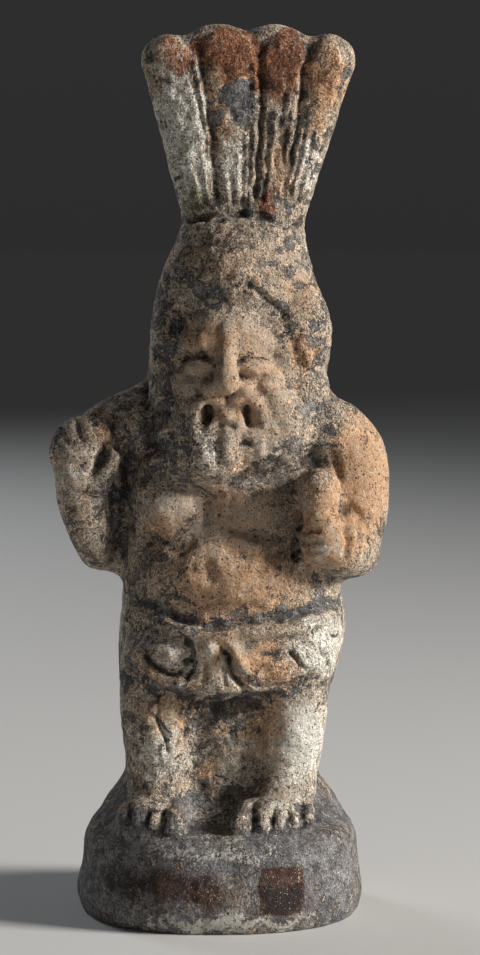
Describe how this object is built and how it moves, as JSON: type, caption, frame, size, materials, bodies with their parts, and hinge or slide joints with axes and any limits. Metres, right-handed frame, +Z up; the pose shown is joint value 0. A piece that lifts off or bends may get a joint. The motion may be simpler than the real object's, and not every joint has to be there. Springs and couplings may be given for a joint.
{
  "type": "terracotta deity statuette",
  "caption": "Mould-made terracotta statuette of a bearded dwarf god in a feather crown and kilt, one hand raised, moulded in one with a rounded plinth that it stands on.",
  "frame": {"origin": "middle of the plinth's flat underside, on the surface that the statuette stands on", "axes": "+Z up, through the crown; the figure faces -Y; its raised hand is on the -X side"},
  "size_m": [0.0899, 0.0692, 0.2349],
  "materials": {
    "terracotta": "matt fired clay, buff to orange, with worn cream slip, grey dirt and traces of red-brown paint"
  },
  "bodies": {
    "root": {"statuette": "terracotta"}
  },
  "joints": []
}
